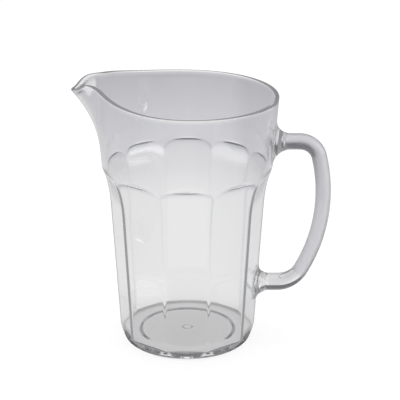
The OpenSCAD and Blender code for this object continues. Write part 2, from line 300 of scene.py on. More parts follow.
# Column angles from a panel's corner to its middle, for a panel that is LISTED_STEP wide
LISTED_STEP = math.radians(36)
CORNER_STEPS = np.radians([0, .12, .25, .4, .6, .85, 1.2, 1.7, 2.4, 3.4, 4.8, 6.3, 7.8, 9.4, 11, 12.7,
                           14.4, 16.2])
LIP_STEPS = np.radians([0, .12, .25, .4, .6, .85, 1.2, 1.7, 2.4, 3.2, 4.1, 5, 6, 7, 8, 9, 10, 11, 12, 13,
                        14, 15, 16, 17])
# Rows on both sides of a line, as shares of its band, and on the floor, as shares of its radius
CLUSTER = np.array([-1, -0.62, -0.38, -0.22, -0.12, -0.05, 0, 0.05, 0.12, 0.22, 0.38, 0.62, 1])
FLOOR_SHARES = (0.96, 0.88, 0.76, 0.6, 0.42, 0.24, 0.1)


def columns(s):
    """Angles of the wall's columns: dense at every corner, and denser all over next to the lip."""
    step = TURN / s.wall.panels
    out = []
    for k in range(s.wall.panels):
        mid = (k + 0.5 - s.wall.panels // 2) * step
        near = abs(lip_angle(np.array(mid - math.pi))) < step * LIP_NEAR
        steps = (LIP_STEPS if near else CORNER_STEPS) * step / LISTED_STEP
        out += [mid - step / 2 + steps, [mid], (mid + step / 2 - steps[::-1])[:-1]]
    return np.concatenate(out)


def wall_rows(s, t):
    """Rows of the jug's closed skin from the middle of the base, out and up, over the rim and down
    inside to the middle of the floor. Each row is an array of radii and one of heights, and the slice
    picks the rows of the wall's outside."""
    f, w = s.foot, s.wall
    one = np.ones_like(t)
    rows = []

    def flat(radius, z):
        """A round row, at the same radius and height all round."""
        rows.append((radius * one, z * one))

    # Under the base: gate ring, roof of the recess, its step and the standing ring
    g, gw, rd, soft = f.gate_radius, f.gate_width, f.recess_depth, GATE_SOFT
    for x in (0.35, 0.7):
        flat((g - gw) * x, rd)
    for x, z in ((g - gw - soft, rd), (g - gw, rd + soft), (g - gw + soft, rd + f.gate_depth),
                 (g - soft, rd + f.gate_depth), (g, rd + soft), (g + soft, rd)):
        flat(x, z)
    inner, e = f.recess_radius - f.recess_step, STEP_SOFT
    for x in np.linspace(g + GATE_MARGIN, inner - 3 * e, 9):
        flat(x, rd)
    for x, z in ((inner - e, rd), (inner - 0.3 * e, rd - 0.3 * e), (inner, rd - e)):
        flat(x, z)
    for x, z in ((f.recess_radius - e * 0.35, e), (f.recess_radius, 0.3 * e), (f.recess_radius + e, 0)):
        flat(x, z)
    foot = outside_radius(s, t, 0 * t, f.edge_radius)
    for x in (0.3, 0.65, 0.9):
        rows.append((f.recess_radius + (foot - f.recess_radius) * x, 0 * t))
    # Edge of the foot, heel, panels, arches and collar outside
    for a in np.radians(np.arange(0, 91, 10)):
        z = f.edge_radius * (1 - math.cos(a)) * one
        rows.append((outside_radius(s, t, z, f.edge_radius * (1 - math.sin(a))), z))
    top = heel_top(s, t)
    part = np.minimum(HEEL_BAND, (top - f.edge_radius) * HEEL_SHARE)
    crest_out, reach = crest(s, t, 0), CREST_BAND
    heights = between(f.edge_radius * one, top - part, 4, (False, False))
    heights += [top + part * x for x in CLUSTER]
    heights += between(top + part, w.cove_height * one, 16, (False, True))
    heights += between(w.cove_height * one, crest_out - reach, 9, (False, False))
    heights += [crest_out + reach * x for x in CLUSTER]
    edge = w.wall / 2
    brim = rim_level(s, t) - edge
    heights += between(crest_out + reach, brim, 20, (False, True))
    outside = slice(len(rows), len(rows) + len(heights))
    rows += [(outside_radius(s, t, z), z) for z in heights]
    # Round rim
    out, in_ = outside_radius(s, t, brim), wall_radius(s, t, brim, w.wall)
    for a in np.radians(np.arange(15, 180, 15)):
        rows.append(((out + in_) / 2 + (out - in_) / 2 * math.cos(a), brim + edge * math.sin(a)))
    # Collar, arches and panels inside
    crest_in = crest(s, t, w.wall)
    floor = f.base + f.fillet
    heights = between(brim, crest_in + reach, 18, (True, False))
    heights += [crest_in + reach * x for x in CLUSTER[::-1]]
    heights += between(crest_in - reach, w.cove_height * one, 10, (False, True))
    heights += between(w.cove_height * one, floor * one, 14, (False, False))
    rows += [(wall_radius(s, t, z, w.wall), z) for z in heights]
    # Fillet and floor
    for a in np.radians(np.arange(0, 91, 9)):
        z = (f.base + f.fillet * (1 - math.sin(a))) * one
        rows.append((wall_radius(s, t, z, w.wall) - f.fillet * (1 - math.cos(a)), z))
    last = rows[-1][0]
    rows += [(last * x, f.base * one) for x in FLOOR_SHARES]
    return rows, outside


def wall_face(s, y, z):
    """Distance of the wall along +X at the place (y, z): the root of the wall's radius squared less y
    squared, worked out again and again at the angle that it gives."""
    x = np.full_like(y, s.wall.rim_radius)
    for _ in range(WALL_TRIES):
        t = np.arctan2(y, x)
        x = np.sqrt(np.maximum(outside_radius(s, t, z) ** 2 - y * y, 0))
    return x


def fillet_growth(radius, left):
    """Growth of an arm's radius where its fillet still has the length left to run: a quarter circle."""
    return radius - np.sqrt(np.maximum(radius ** 2 - np.clip(left, 0, radius) ** 2, 0))


def boss_patch(s, edge, z0, face_x, arm, reach, flare_up, flare_side, groove):
    """Rings from a hole's edge in the wall to a round boss: first along the wall to an ellipse, then
    up the fillet's arc to the joint, then the flat face to its middle."""
    y, z = edge[:, 1], edge[:, 2]
    around = np.arctan2(z - z0, y)
    c, sn = np.cos(around), np.sin(around)
    flare = np.sqrt((flare_side * c) ** 2 + (flare_up * sn) ** 2)
    end = math.acos(1 - reach / flare_up)
    joint = arm + flare_up * (1 - math.sin(end))
    rings = []
    for x in (0.3, 0.6, 0.85):
        yy = y + ((arm + flare) * c - y) * x
        zz = z + (z0 + (arm + flare) * sn - z) * x
        rings.append(np.stack([wall_face(s, yy, zz), yy, zz], 1))
    for part in np.linspace(0, 1, 15):
        a = end * part
        rho = joint + (arm + flare - joint) * (1 - math.sin(a) / math.sin(end))
        yy, zz = rho * c, z0 + rho * sn
        x = wall_face(s, yy, zz)
        x = x + (face_x - groove - x) * (1 - math.cos(a)) / (1 - math.cos(end))
        rings.append(np.stack([x, yy, zz], 1))
    for rho in (joint - groove, joint * 0.93, joint * 0.5):
        rings.append(np.stack([np.full_like(c, face_x), rho * c, z0 + rho * sn], 1))
    return rings


def upper_arm_height(s):
    """Height of the upper arm's middle line."""
    return s.wall.rim_height - s.handle.top_drop


def jug_mesh(s):
    """Points and faces of the jug's skin: rows of radii turned round the axis, with two windows that
    boss patches fill."""
    h = s.handle
    t = columns(s)
    rows, outside = wall_rows(s, t)
    n, m = len(t), len(rows)
    r = np.array([a for a, _ in rows])
    z = np.array([b for _, b in rows])
    pts = np.stack([r * np.cos(t), r * np.sin(t), z], -1)
    grid = np.arange(n * m).reshape(m, n)
    right = np.roll(grid, -1, axis=1)
    quads = np.stack([grid[:-1], right[:-1], right[1:], grid[1:]], -1)
    keep = np.ones((m - 1, n), bool)
    points = [pts.reshape(-1, 3)]
    total = n * m
    extra_quads, extra_tris, quad_slots = [], [], []
    jobs = (
        (upper_arm_height(s), h.top_reach, h.top_radius, h.top_flare, h.top_flare),
        (h.low_height, h.low_reach, h.low_radius, h.low_flare, h.low_flare_side),
    )
    for z0, out, arm, up, side in jobs:
        face_x = wall_face(s, np.zeros(1), np.array([z0]))[0] + out
        column_z = z[outside, int(np.argmin(np.abs(t)))]
        tall, across = arm + up + WINDOW_MARGIN, arm + side + WINDOW_MARGIN
        j0 = outside.start + int(np.max(np.nonzero(column_z < z0 - tall)))
        j1 = outside.start + int(np.min(np.nonzero(column_z > z0 + tall)))
        i0 = int(np.max(np.nonzero((pts[j0, :, 1] < -across) & (pts[j0, :, 0] > 0) & (t < 0))))
        i1 = int(np.min(np.nonzero((pts[j0, :, 1] > across) & (pts[j0, :, 0] > 0) & (t > 0))))
        keep[j0:j1, i0:i1] = False
        loop = np.concatenate([grid[j0, i0:i1], grid[j0:j1, i1], grid[j1, i1:i0:-1], grid[j1:j0:-1, i0]])
        edge = pts.reshape(-1, 3)[loop]
        rings = boss_patch(s, edge, z0, face_x, arm, out, up, side, h.bond_groove)
        before = loop
        for k, ring in enumerate(rings):
            now = np.arange(total, total + len(loop))
            total += len(loop)
            points.append(ring)
            extra_quads.append(np.stack([before, np.roll(before, -1), np.roll(now, -1), now], -1))
            quad_slots.append(np.full(len(loop), 1 if k >= len(rings) - 2 else 0))
            before = now
        points.append(np.array([[face_x, 0, z0]]))
        extra_tris.append(np.stack([before, np.roll(before, -1), np.full(len(loop), total)], -1))
        total += 1
    tri_slots = [np.full(len(x), 1) for x in extra_tris]
    under, floor = total, total + 1
    points.append(np.array([[0, 0, s.foot.recess_depth], [0, 0, s.foot.base]]))
    extra_tris.append(np.stack([right[0], grid[0], np.full(n, under)], -1))
    extra_tris.append(np.stack([grid[-1], right[-1], np.full(n, floor)], -1))
    tri_slots += [np.zeros(n), np.zeros(n)]
    main = quads[keep]
    slots = np.concatenate([np.zeros(len(main))] + quad_slots + tri_slots)
    return np.concatenate(points), np.concatenate([main] + extra_quads), np.concatenate(extra_tris), slots


# The handle

ARM_ROWS, BEND_ROWS, GRIP_ROWS = 16, 30, 60
BAR_SIDES = 64
BUBBLE_ROWS, BUBBLE_SIDES = 26, 28
SATIN_BORDER = math.radians(2)


def handle_path(s):
    """Middle line of the bar from the lower joint to the upper one: a straight arm, three arcs that
    touch each other, and a straight arm. Gives rows of x, z and the angle of the outer side, the bar's
    radius at each row, and how satin it is there, from 0 to 1."""
    h = s.handle
    low_x = wall_face(s, np.zeros(1), np.array([h.low_height]))[0] + h.low_reach
    top_z = upper_arm_height(s)
    top_x = wall_face(s, np.zeros(1), np.array([top_z]))[0] + h.top_reach
    top_c, low_c = top_z - h.top_bend, h.low_height + h.low_bend
    top_span = math.sqrt((h.grip_bend - h.top_bend) ** 2 - (top_c - h.grip_height) ** 2)
    low_span = math.sqrt((h.grip_bend - h.low_bend) ** 2 - (low_c - h.grip_height) ** 2)
    cx = top_x + h.top_straight - top_span
    top_turn = math.atan2(top_c - h.grip_height, top_span)
    low_turn = math.atan2(low_c - h.grip_height, low_span)

    def arc(x, z, r, a0, a1, n):
        """Rows of an arc round x, z with the radius r: cosine and sine of n steps from a0 to a1."""
        a = np.linspace(a0, a1, n + 1)
        return np.stack([x + r * np.cos(a), z + r * np.sin(a), a], 1)

    def arm(x0, x1, z, side):
        """Rows of a level arm in equal steps from x0 to x1."""
        return np.stack([np.linspace(x0, x1, ARM_ROWS + 1), np.full(ARM_ROWS + 1, z),
                         np.full(ARM_ROWS + 1, side)], 1)

    def ease(u):
        """Smooth step from 0 to 1: 3 times the square less 2 times the cube."""
        return u * u * (3 - 2 * u)

    down, up = -math.pi / 2, math.pi / 2
    low_arc = arc(cx + low_span, low_c, h.low_bend, down, low_turn, BEND_ROWS)
    grip = arc(cx, h.grip_height, h.grip_bend, low_turn, top_turn, GRIP_ROWS)[1:]
    top_arc = arc(cx + top_span, top_c, h.top_bend, top_turn, up, BEND_ROWS)[1:]
    low_arm = arm(low_x, cx + low_span, h.low_height, down)[:-1]
    top_arm = arm(cx + top_span, top_x, top_z, up)[1:]
    path = np.concatenate([low_arm, low_arc, grip, top_arc, top_arm])
    steps = np.concatenate([[0], np.cumsum(np.hypot(*np.diff(path[:, :2], axis=0).T))])
    bends = steps[np.cumsum([ARM_ROWS, BEND_ROWS, GRIP_ROWS, BEND_ROWS])]
    low_share = np.clip(1 - (steps - bends[0]) / (bends[1] - bends[0]), 0, 1)
    top_share = np.clip((steps - bends[2]) / (bends[3] - bends[2]), 0, 1)
    radius = (h.grip_radius + (h.low_radius - h.grip_radius) * ease(low_share)
              + (h.top_radius - h.grip_radius) * ease(top_share)
              + fillet_growth(h.low_flare, h.low_flare - h.low_reach - steps)
              + fillet_growth(h.top_flare, h.top_flare - h.top_reach - steps[-1] + steps))
    satin = np.clip((path[:, 2] + h.satin_angle) / SATIN_BORDER + 0.5, 0, 1)
    return path, radius, satin


def handle_mesh(s):
    """The bar as one closed skin, from the middle of the lower face out over the bar to the middle of
    the upper one. Each ring is a circle square to the path, and each row is x, z, the angle of its
    outer side, radius, material slot and how satin it is."""
    h = s.handle
    path, radius, satin = handle_path(s)
    g = h.bond_groove
    rings = []

    def add(p, r, slot, share, shift=0.0):
        """A ring of radius r at the path's row p, shifted along the path."""
        x, z, a = p
        rings.append((x - math.sin(a) * shift, z + math.cos(a) * shift, a, r, slot, share))

    low, top = path[0], path[-1]
    low_joint, top_joint = radius[0], radius[-1]
    for part in (0.5, 0.93):
        add(low, low_joint * part, 1, 0)
    add(low, low_joint - g, 1, 0)
    add(low, low_joint, 0, 0, g)
    for p, r, share in zip(path[1:-1], radius[1:-1], satin[1:-1]):
        add(p, r, 0, share)
    add(top, top_joint, 0, 1, -g)
    add(top, top_joint - g, 0, 0)
    for part in (0.93, 0.5):
        add(top, top_joint * part, 1, 0)
    x, z, a, r, slots, share = np.array(rings).T[:, :, None]
    turn = np.linspace(0, TURN, BAR_SIDES + 1)[:-1]
    side = r * np.cos(turn)
    points = np.stack([x + side * np.cos(a), r * np.sin(turn) + 0 * side, z + side * np.sin(a)], -1)
    return points, slots[:, 0], np.repeat(share[:, 0], BAR_SIDES)


def tube_faces(m, n):
    """Quads of m rings of n points, and two fans to the poles that come after them."""
    grid = np.arange(n * m).reshape(m, n)
    right = np.roll(grid, -1, axis=1)
    quads = np.stack([grid[:-1], right[:-1], right[1:], grid[1:]], -1).reshape(-1, 4)
    tris = np.concatenate([np.stack([right[0], grid[0], np.full(n, n * m)], -1),
                           np.stack([grid[-1], right[-1], np.full(n, n * m + 1)], -1)])
    return quads, tris


def bubble_mesh(s):
    """Nose of the gas bubble that is left in the lower bend, as a closed skin that faces the gas. It
    follows the bend, off towards its inner side, with the radius of an ellipsoid. Its rings come first
    and then its two poles."""
    h = s.handle
    path = handle_path(s)[0]
    centre = path[ARM_ROWS, 0], path[ARM_ROWS, 1] + h.low_bend
    u = (1 - np.cos(np.linspace(0, math.pi, BUBBLE_ROWS + 2))) / 2
    a = (h.bubble_start + (h.bubble_end - h.bubble_start) * u)[:, None]
    r = (h.bubble_radius * 2 * np.sqrt(np.maximum(u * (1 - u), 0)))[:, None]
    turn = np.linspace(0, TURN, BUBBLE_SIDES + 1)[:-1]
    out = h.low_bend - h.bubble_offset + r * np.cos(turn)
    points = np.stack([centre[0] + out * np.cos(a), r * np.sin(turn) + 0 * out,
                       centre[1] + out * np.sin(a)], -1)
    return np.concatenate([points[1:-1].reshape(-1, 3), points[:1, 0], points[-1:, 0]])


# Finishes

def node(tree, kind, place=(0, 0), **values):
    """A shader node with its settings, and its inputs by name or number."""
    made = tree.nodes.new(kind)
    made.location = place
    for key, value in values.items():
        if key == "inputs":
            for k, v in value.items():
                made.inputs[k].default_value = v
        else:
            setattr(made, key, value)
    return made


def maths(tree, operation, *terms):
    """Output of a maths node whose inputs are sockets or plain numbers."""
    made = node(tree, "ShaderNodeMath", operation=operation)
    for into, term in zip(made.inputs, terms):
        if isinstance(term, bpy.types.NodeSocket):
            tree.links.new(term, into)
        else:
            into.default_value = term
    return made.outputs[0]


FLOW = (1.0, 1.0, 0.25)    # the mould's waves are drawn out along the height
GRAIN_SHARE = 0.06         # height of the grain as a share of the waves'
WEAR_RANGE = (0.35, 0.75)  # part of the waves' range that the roughness follows


def moulded_group():
    """Moulded surface: two noises, the waves and the grain, added up as a height, and the waves mapped
    to a range of roughness, as patches of wear."""
    if "Moulded surface" in bpy.data.node_groups:
        return bpy.data.node_groups["Moulded surface"]
    g = bpy.data.node_groups.new("Moulded surface", "ShaderNodeTree")
    for name, value in (("Wave scale", 60.0), ("Grain scale", 900.0), ("Low roughness", 0.0),
                        ("High roughness", 0.1)):
        made = g.interface.new_socket(name=name, in_out="INPUT", socket_type="NodeSocketFloat")
        made.default_value = value
    for name in ("Height", "Roughness"):
        g.interface.new_socket(name=name, in_out="OUTPUT", socket_type="NodeSocketFloat")
    into = g.nodes.new("NodeGroupInput")
    out = g.nodes.new("NodeGroupOutput")
    where = g.nodes.new("ShaderNodeTexCoord")
    wave = node(g, "ShaderNodeTexNoise", inputs={"Detail": 2.0, "Roughness": 0.45})
    grain = node(g, "ShaderNodeTexNoise", inputs={"Detail": 3.0, "Roughness": 0.6})
    stretch = node(g, "ShaderNodeMapping", inputs={"Scale": FLOW})
    both = node(g, "ShaderNodeMath", operation="MULTIPLY_ADD", inputs={1: GRAIN_SHARE})
    low, high = WEAR_RANGE
    span = node(g, "ShaderNodeMapRange", inputs={"From Min": low, "From Max": high})
    link = g.links.new
    link(where.outputs["Object"], stretch.inputs["Vector"])
    link(stretch.outputs[0], wave.inputs["Vector"])
    link(where.outputs["Object"], grain.inputs["Vector"])
    link(into.outputs["Wave scale"], wave.inputs["Scale"])
    link(into.outputs["Grain scale"], grain.inputs["Scale"])
    link(grain.outputs[0], both.inputs[0])
    link(wave.outputs[0], both.inputs[2])
    link(both.outputs[0], out.inputs["Height"])
    link(wave.outputs[0], span.inputs["Value"])
    link(into.outputs["Low roughness"], span.inputs["To Min"])
    link(into.outputs["High roughness"], span.inputs["To Max"])
    link(span.outputs[0], out.inputs["Roughness"])
    return g


def moulded(tree, place, waves, grain, low, high):
    """Moulded surface with its two scales and the range of its roughness."""
    return node(tree, "ShaderNodeGroup", place, node_tree=moulded_group(), inputs={
        "Wave scale": waves, "Grain scale": grain, "Low roughness": low, "High roughness": high})


TRAPPED_AFTER = 3.5  # reflections that a ray is followed for, before it ends in a painted glow of the studio's grey
# Painted light: the grey glow that the plastic gives to rays trapped inside it
TRAPPED_GLOW = (0.15, 0.15, 0.155)
RELIEF = 0.00002     # height of the moulded surface in metres
CLEAR_ROUGH = (0.0, 0.012)
CLEAR_GRAIN, SATIN_GRAIN = 900.0, 2500.0
JUG_WAVES, BAR_WAVES, SATIN_WAVES = 55.0, 70.0, 300.0


def plastic(name, f, waves):
    """Clear plastic: full transmission, with roughness and a faint bump from the moulded surface, and a
    painted glow of grey light for rays that stay inside too long.
    """
    made = bpy.data.materials.new(name)
    made.use_nodes = True
    tree = made.node_tree
    tree.nodes.clear()
    out = node(tree, "ShaderNodeOutputMaterial", (500, 0))
    shader = node(tree, "ShaderNodeBsdfPrincipled", (200, 0), inputs={
        "Base Color": (*f.clear_tint, 1), "IOR": f.ior, "Transmission Weight": 1.0, "Metallic": 0.0})
    surface = moulded(tree, (-300, 0), waves, CLEAR_GRAIN, *CLEAR_ROUGH)
    relief = node(tree, "ShaderNodeBump", (0, -200), inputs={"Strength": 1.0, "Distance": RELIEF})
    link = tree.links.new
    link(surface.outputs["Height"], relief.inputs["Height"])
    link(surface.outputs["Roughness"], shader.inputs["Roughness"])
    link(relief.outputs[0], shader.inputs["Normal"])
    # Rays that the plastic keeps reflecting inside end in a painted glow of the studio's grey, not in
    # black
    path = node(tree, "ShaderNodeLightPath", (-300, 300))
    shader.inputs["Emission Color"].default_value = (*TRAPPED_GLOW, 1)
    link(maths(tree, "GREATER_THAN", path.outputs["Glossy Depth"], TRAPPED_AFTER),
         shader.inputs["Emission Strength"])
    link(shader.outputs[0], out.inputs[0])
    return made


def satin_plastic(name, f):
    """Clear plastic that turns satin where the piece's satin attribute is 1: rougher, greyer, grained."""
    made = plastic(name, f, BAR_WAVES)
    tree = made.node_tree
    link = tree.links.new
    shader = tree.nodes["Principled BSDF"]
    grip = node(tree, "ShaderNodeAttribute", (-600, 200), attribute_name="satin")
    surface = moulded(tree, (-600, -300), SATIN_WAVES, SATIN_GRAIN, f.satin_low, f.satin_high)
    clear = shader.inputs["Roughness"].links[0].from_socket
    rough = node(tree, "ShaderNodeMix", (0, 0))
    link(grip.outputs["Fac"], rough.inputs["Factor"])
    link(clear, rough.inputs["A"])
    link(surface.outputs["Roughness"], rough.inputs["B"])
    link(rough.outputs["Result"], shader.inputs["Roughness"])
    tint = node(tree, "ShaderNodeMix", (0, 200), data_type="RGBA")
    tint.inputs["A"].default_value = (*f.clear_tint, 1)
    tint.inputs["B"].default_value = (*f.satin_tint, 1)
    link(grip.outputs["Fac"], tint.inputs["Factor"])
    link(tint.outputs["Result"], shader.inputs["Base Color"])
    return made


def bond(name):
    """Bond line: cement of the plastic's own index, which can't be seen."""
    made = bpy.data.materials.new(name)
    made.use_nodes = True
    shader = made.node_tree.nodes["Principled BSDF"]
    shader.inputs["Base Color"].default_value = (1, 1, 1, 1)
    shader.inputs["Alpha"].default_value = 0.0
    return made


def finish_piece(piece, materials, replaced):
    """Material slots, body and replaced node of a piece."""
    for m in materials:
        piece.data.materials.append(m)
    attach(piece, "root")
    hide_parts(replaced)


class PITCHER_OT_jug_body(bpy.types.Operator):
    """Build the jug's smooth wall with its arches, lip, base and bosses"""
    bl_idname = "pitcher.jug_body"
    bl_label = "Jug body"

    def execute(self, context):
        s = context.scene.pitcher
        points, quads, tris, slots = jug_mesh(s)
        piece = skin("jug_wall", points, quads, tris, slots)
        f = s.finish
        clear = plastic("clear_plastic", f, JUG_WAVES)
        finish_piece(piece, [clear, bond("bond_line")], "jug_body")
        return {"FINISHED"}


class PITCHER_OT_handle(bpy.types.Operator):
    """Build the handle bar with its satin grip and its gas bubble"""
    bl_idname = "pitcher.handle"
    bl_label = "Handle"

    def execute(self, context):
        s = context.scene.pitcher
        rings, slots, satin = handle_mesh(s)
        quads, tris = tube_faces(len(rings), BAR_SIDES)
        points = np.concatenate([rings.reshape(-1, 3), [rings[0].mean(0), rings[-1].mean(0)]])
        band = np.repeat(np.minimum(slots[:-1], slots[1:]), BAR_SIDES)
        gas = bubble_mesh(s)
        gas_quads, gas_tris = (f[:, ::-1] + len(points) for f in tube_faces(BUBBLE_ROWS, BUBBLE_SIDES))
        slots = [band, np.zeros(len(gas_quads)), np.ones(len(tris)), np.zeros(len(gas_tris))]
        piece = skin("handle_bar", np.concatenate([points, gas]), np.concatenate([quads, gas_quads]),
                     np.concatenate([tris, gas_tris]), np.concatenate(slots))
        grip = piece.data.attributes.new("satin", "FLOAT", "POINT")
        plain = np.zeros(len(points) - len(satin) + len(gas))
        grip.data.foreach_set("value", np.concatenate([satin, plain]).astype(np.float32))
        f = s.finish
        finish_piece(piece, [satin_plastic("handle_plastic", f), bpy.data.materials["bond_line"]],
                     "handle")
        return {"FINISHED"}


# The stage

VIEW_SIDE = math.radians(-90)
VIEW_UP = math.radians(20.617)
VIEW_ROLL = math.radians(0.171)
AWAY = (-math.cos(VIEW_SIDE), -math.sin(VIEW_SIDE), 0)
VIEW_FAR = 1.0936
VIEW_AIM = (0.0099, 0.11385)
LENS, SENSOR = 126.0, 36.0
LAMP_SIZE, LAMP_POWER, LAMP_PLACE = 1.2, 12.0, (0.0, 0.1, 1.6)


def view_axes():
    """Right, up and back of the photo's camera, level, before its small roll."""
    back = Vector((math.cos(VIEW_SIDE) * math.cos(VIEW_UP), math.sin(VIEW_SIDE) * math.cos(VIEW_UP),
                   math.sin(VIEW_UP)))
    right = Vector((-math.sin(VIEW_SIDE), math.cos(VIEW_SIDE), 0))
    return right, back.cross(right), back


def add_camera():
    """Camera where the photo was taken from, with a long lens."""
    right, up, back = view_axes()
    c, r = math.cos(VIEW_ROLL), math.sin(VIEW_ROLL)
    x, y = right * c + up * r, up * c - right * r
    spot = right * VIEW_AIM[0] + Vector((0, 0, VIEW_AIM[1])) + back * VIEW_FAR
    data = bpy.data.cameras.new("camera")
    data.lens, data.sensor_width = LENS, SENSOR
    data.clip_start = 0.01
    made = bpy.data.objects.new("camera", data)
    made.matrix_world = Matrix((
        (x[0], y[0], back[0], spot[0]), (x[1], y[1], back[1], spot[1]), (x[2], y[2], back[2], spot[2]),
        (0, 0, 0, 1)))
    bpy.context.scene.collection.objects.link(made)
    bpy.context.scene.camera = made


TABLE_HALF, TABLE_DROP = 6.0, 0.0003  # half of its side, and how far it lies under the foot
TABLE_LIT, TABLE_GLOW = 0.25, 0.85
# Studio tones. A stop is a place from 0 to 1, a level of grey and what its blue has more. FLOOR runs
# from 1 m in front to 1 m behind the foot, SIDE from 1 m left to 1 m right, FOOT, the jug's painted
# shadow on the table, over FOOT_SPAN out from the foot's centre, and BACK and FRONT from the level up to
# the zenith.
FOOT_SPAN = 0.1
FLOOR_STOPS = [(0.0, 0.3, 0.01), (0.15, 0.55, 0.02), (0.35, 0.74, 0.0), (0.485, 0.77, 0.0),
               (0.56, 0.89, 0.0), (0.65, 0.885, 0.0), (0.68, 0.84, 0.005), (0.75, 0.725, 0.023),
               (0.88, 0.57, 0.03), (0.94, 0.2, 0.01), (1.0, 0.15, 0.01)]
SIDE_STOPS = [(0.0, 0.6, 0.02), (0.3, 0.66, 0.02), (0.4, 0.86, 0.0), (0.45, 0.89, 0.0),
              (0.475, 0.94, 0.0), (0.49, 0.965, 0.0), (0.512, 0.965, 0.0), (0.5275, 0.92, 0.0),
              (0.5425, 0.79, 0.01), (0.6, 0.79, 0.01), (0.7, 0.7, 0.02), (1.0, 0.5, 0.02)]
# Painted shadow: the table darkens under the foot, and most in a ring just outside its edge
FOOT_SHADOW_STOPS = [(0.0, 0.8, 0.0), (0.34, 0.83, 0.0), (0.4, 0.88, 0.0), (0.475, 0.85, 0.0),
              (0.495, 0.45, 0.0), (0.53, 0.5, 0.0), (0.58, 0.92, 0.0), (0.75, 1, 0), (1.0, 1, 0)]
# A painted shadow darkens the table under the foot's edge, for rays that have crossed fewer surfaces
# than EDGE_DEPTH: a ring of a middle radius and half width where they run further than EDGE_GAP, and all
# inside it where they run further than EDGE_RUN, which only slanting rays do.
EDGE_RING = (0.0438, 0.0123)
EDGE_GAP, EDGE_RUN = 0.00036, 0.0035
EDGE_SHADE, EDGE_DEPTH = 0.12, 2.5
# Each soft lamp is a round patch: degrees from the camera's side and its light, then degrees above the
# level, to the end of its full light and to its edge.
SIDE_LAMPS = ((70, 2.4), (-70, 1.3))
LAMP_RISE, LAMP_INNER, LAMP_OUTER = 17, 8, 17
BACK_STOPS = [(0.0, 0.14, 0.01), (0.2, 0.13, 0.01), (0.45, 0.25, 0.01), (0.7, 0.3, 0.01),
              (0.85, 1.2, 0.0), (1.0, 1.4, 0.0)]
FRONT_STOPS = [(0.0, 0.3, 0.01), (0.5, 0.32, 0.01), (0.75, 0.5, 0.02), (0.85, 1.2, 0.0), (1.0, 1.4, 0.0)]
EVEN_LIGHT = 0.5          # what everything but the camera, plastic and gloss gets from the world
BACK_EDGES = (-0.2, 0.4)  # where FRONT starts to give way to BACK and where it has, along AWAY


def greys(tree, value, stops):
    """Colour ramp over a value, with its first stop at 0 and its last at 1."""
    made = node(tree, "ShaderNodeValToRGB")
    ends = made.color_ramp.elements
    shades = [(level, level, level + blue, 1) for _, level, blue in stops]
    ends[0].color, ends[1].color = shades[0], shades[-1]
    for stop, shade in zip(stops[1:-1], shades[1:-1]):
        ends.new(stop[0]).color = shade
    tree.links.new(value, made.inputs[0])
    return made.outputs[0]


def along(tree, where, direction):
    """Dot product of a vector and a fixed direction."""
    made = node(tree, "ShaderNodeVectorMath", operation="DOT_PRODUCT")
    made.inputs[1].default_value = tuple(direction)
    tree.links.new(where, made.inputs[0])
    return made.outputs["Value"]


def mapped(tree, value, low, high, top=1.0, kind="LINEAR"):
    """A value's range from low to high mapped to 0 to top, and clamped."""
    made = node(tree, "ShaderNodeMapRange", interpolation_type=kind,
                inputs={"From Min": low, "From Max": high, "To Max": top})
    tree.links.new(value, made.inputs["Value"])
    return made.outputs[0]


def mixed(tree, share, a, b):
    """Shader a, or shader b where the share is 1."""
    made = node(tree, "ShaderNodeMixShader")
    for into, term in zip(made.inputs, (share, a, b)):
        tree.links.new(term, into)
    return made.outputs[0]


def mixed_colour(tree, share, a, b, blend="MIX"):
    """Two colours mixed or blended by a share, which is a socket or a number."""
    made = node(tree, "ShaderNodeMix", data_type="RGBA", blend_type=blend)
    if isinstance(share, bpy.types.NodeSocket):
        tree.links.new(share, made.inputs["Factor"])
    else:
        made.inputs["Factor"].default_value = share
    tree.links.new(a, made.inputs["A"])
    tree.links.new(b, made.inputs["B"])
    return made.outputs["Result"]


def by_ray(tree, path, seen, studio):
    """The studio for glossy and transmitted rays, and what is seen for all others."""
    either = maths(tree, "MAXIMUM", path.outputs["Is Glossy Ray"], path.outputs["Is Transmission Ray"])
    return mixed(tree, either, seen, studio)


def foot_shade(tree, radius, path):
    """Strength of the table's painted light near the foot: a ramp of painted shadow over the radius, and
    painted shadow for the rays that left the jug through the foot's own edge, which have crossed only two
    surfaces."""
    run = path.outputs["Ray Length"]
    ring = maths(tree, "MULTIPLY", maths(tree, "COMPARE", radius, *EDGE_RING),
                 maths(tree, "GREATER_THAN", run, EDGE_GAP))
    slant = maths(tree, "MULTIPLY", maths(tree, "LESS_THAN", radius, sum(EDGE_RING)),
                  maths(tree, "GREATER_THAN", run, EDGE_RUN))
    short = maths(tree, "LESS_THAN", path.outputs["Transmission Depth"], EDGE_DEPTH)
    edge = maths(tree, "MULTIPLY", short, maths(tree, "MAXIMUM", ring, slant))
    shade = greys(tree, maths(tree, "MULTIPLY", radius, 1 / FOOT_SPAN), FOOT_SHADOW_STOPS)
    return maths(tree, "MULTIPLY", maths(tree, "MULTIPLY_ADD", edge, EDGE_SHADE - 1, 1.0), shade)


